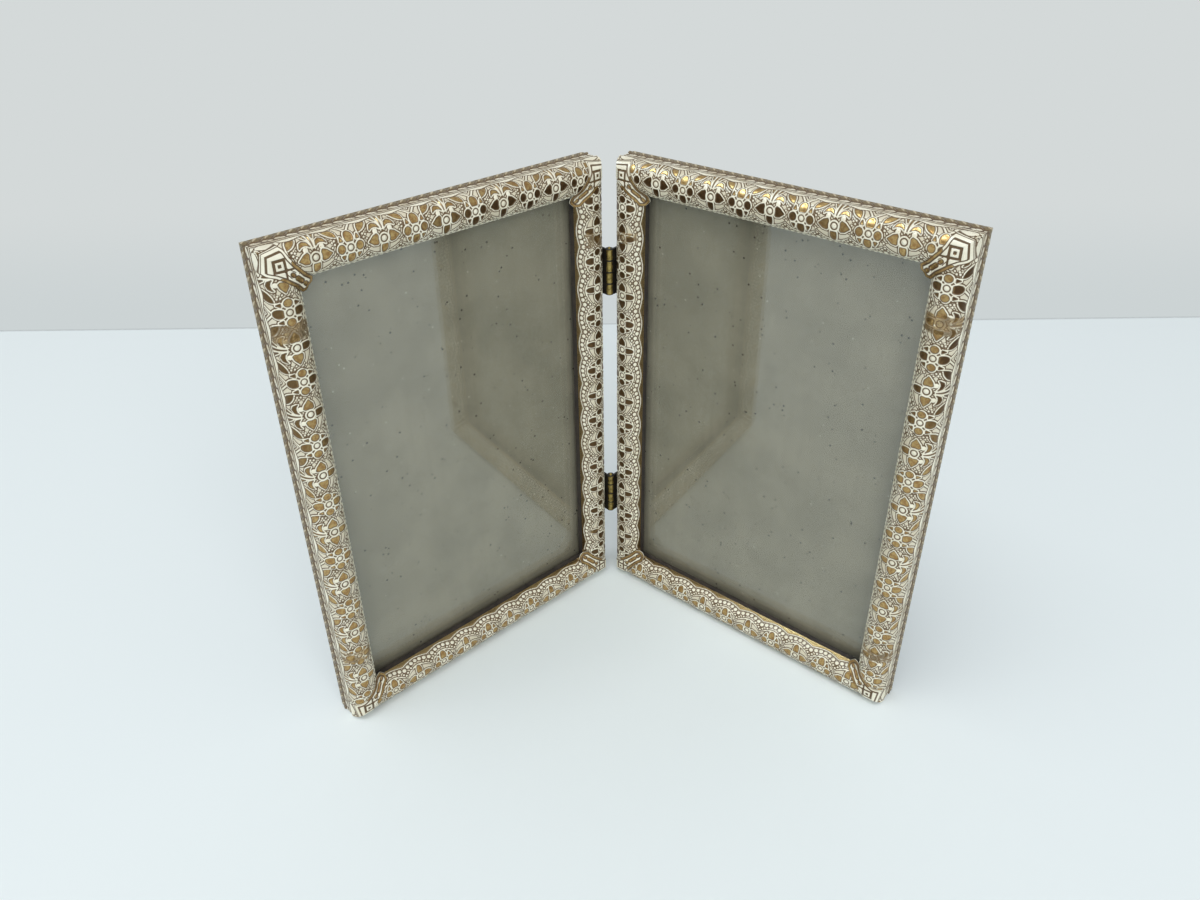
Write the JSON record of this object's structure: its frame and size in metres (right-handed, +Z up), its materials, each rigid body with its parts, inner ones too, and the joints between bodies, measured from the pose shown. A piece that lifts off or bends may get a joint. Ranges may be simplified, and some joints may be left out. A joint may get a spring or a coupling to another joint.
{
  "type": "hinged double photo frame",
  "caption": "Two foil-clad portrait photo frames with corner plates, glass and grey cards, joined by small brass hinges to stand as an open V.",
  "frame": {"origin": "on the floor, under the middle of the part's box", "axes": "+Z up, +Y from the open mouth of the V to its hinges, +X to the right seen from the mouth"},
  "size_m": [0.195, 0.0862, 0.1704],
  "materials": {
    "foil": "embossed foil, cream wash rubbed back to gold",
    "core_wood": "black-stained softwood",
    "glass": "clear",
    "chipboard": "grey chipboard with dark specks",
    "fibreboard": "brown fibreboard",
    "felt": "black felt",
    "brass": "aged brass",
    "steel": "bright drawn"
  },
  "bodies": {
    "left_frame": {"left_top_cladding": "foil", "left_bottom_cladding": "foil", "left_outer_cladding": "foil", "left_inner_cladding": "foil", "left_top_core": "core_wood", "left_bottom_core": "core_wood", "left_outer_core": "core_wood", "left_inner_core": "core_wood", "left_top_outer_corner_plate": "foil", "left_top_inner_corner_plate": "foil", "left_bottom_outer_corner_plate": "foil", "left_bottom_inner_corner_plate": "foil", "left_glass": "glass", "left_grey_card": "chipboard", "left_back_board": "fibreboard", "left_back_felt": "felt", "left_corner_nails": "steel", "left_button_screws": "brass", "left_upper_hinge_leaf": "brass", "left_lower_hinge_leaf": "brass", "left_hinge_screws": "brass", "upper_hinge_pin": "brass", "lower_hinge_pin": "brass"},
    "right_frame": {"right_top_cladding": "foil", "right_bottom_cladding": "foil", "right_outer_cladding": "foil", "right_inner_cladding": "foil", "right_top_core": "core_wood", "right_bottom_core": "core_wood", "right_outer_core": "core_wood", "right_inner_core": "core_wood", "right_top_outer_corner_plate": "foil", "right_top_inner_corner_plate": "foil", "right_bottom_outer_corner_plate": "foil", "right_bottom_inner_corner_plate": "foil", "right_glass": "glass", "right_grey_card": "chipboard", "right_back_board": "fibreboard", "right_back_felt": "felt", "right_corner_nails": "steel", "right_button_screws": "brass", "right_upper_hinge_leaf": "brass", "right_lower_hinge_leaf": "brass", "right_hinge_screws": "brass"},
    "left_top_button": {"left_top_button": "brass"},
    "left_bottom_button": {"left_bottom_button": "brass"},
    "left_outer_button": {"left_outer_button": "brass"},
    "left_inner_button": {"left_inner_button": "brass"},
    "right_top_button": {"right_top_button": "brass"},
    "right_bottom_button": {"right_bottom_button": "brass"},
    "right_outer_button": {"right_outer_button": "brass"},
    "right_inner_button": {"right_inner_button": "brass"}
  },
  "joints": [
    {"name": "frame_hinge", "type": "hinge", "parent": "left_frame", "child": "right_frame", "pos_m": [0, 0.03541, 0.0852], "axis": [0, 0, 1], "range_deg": [-78, 83]},
    {"name": "left_top_button_turn", "type": "hinge", "parent": "left_frame", "child": "left_top_button", "pos_m": [-0.05302, 0.00372, 0.1646], "axis": [-0.6626, 0.749, 0], "range_deg": [-90, 90]},
    {"name": "left_bottom_button_turn", "type": "hinge", "parent": "left_frame", "child": "left_bottom_button", "pos_m": [-0.05302, 0.00372, 0.0058], "axis": [-0.6626, 0.749, 0], "range_deg": [-90, 90]},
    {"name": "left_outer_button_turn", "type": "hinge", "parent": "left_frame", "child": "left_outer_button", "pos_m": [-0.09346, -0.03206, 0.0852], "axis": [-0.6626, 0.749, 0], "range_deg": [-90, 90]},
    {"name": "left_inner_button_turn", "type": "hinge", "parent": "left_frame", "child": "left_inner_button", "pos_m": [-0.01257, 0.03951, 0.0852], "axis": [-0.6626, 0.749, 0], "range_deg": [-90, 90]},
    {"name": "right_top_button_turn", "type": "hinge", "parent": "right_frame", "child": "right_top_button", "pos_m": [0.05302, 0.00372, 0.1646], "axis": [0.6626, 0.749, 0], "range_deg": [-90, 90]},
    {"name": "right_bottom_button_turn", "type": "hinge", "parent": "right_frame", "child": "right_bottom_button", "pos_m": [0.05302, 0.00372, 0.0058], "axis": [0.6626, 0.749, 0], "range_deg": [-90, 90]},
    {"name": "right_outer_button_turn", "type": "hinge", "parent": "right_frame", "child": "right_outer_button", "pos_m": [0.09346, -0.03206, 0.0852], "axis": [0.6626, 0.749, 0], "range_deg": [-90, 90]},
    {"name": "right_inner_button_turn", "type": "hinge", "parent": "right_frame", "child": "right_inner_button", "pos_m": [0.01257, 0.03951, 0.0852], "axis": [0.6626, 0.749, 0], "range_deg": [-90, 90]}
  ]
}
